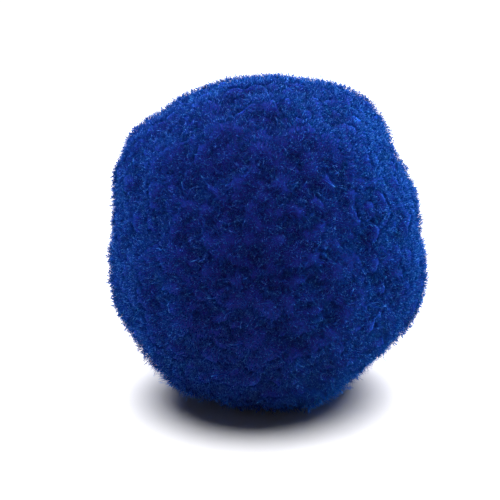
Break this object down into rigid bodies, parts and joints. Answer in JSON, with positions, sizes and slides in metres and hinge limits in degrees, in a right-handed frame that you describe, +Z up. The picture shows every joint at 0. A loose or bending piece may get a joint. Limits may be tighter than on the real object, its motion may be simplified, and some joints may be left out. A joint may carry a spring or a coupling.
{
  "type": "yarn pom pom",
  "caption": "Ball-shaped yarn pom pom: dense cut pile, trimmed round, for trimming knitwear, bags and crafts.",
  "frame": {"origin": "centre of the bounding box's bottom, on the surface that the pom pom rests on", "axes": "+Z up; -Y is the front, which faces the viewer in the picture; +X is the viewer's right"},
  "size_m": [0.0594, 0.0596, 0.0613],
  "materials": {
    "yarn": "royal blue acrylic yarn, cut and brushed out to a matt fuzzy pile"
  },
  "bodies": {
    "root": {"pom_pom_pile": "yarn"}
  },
  "joints": []
}
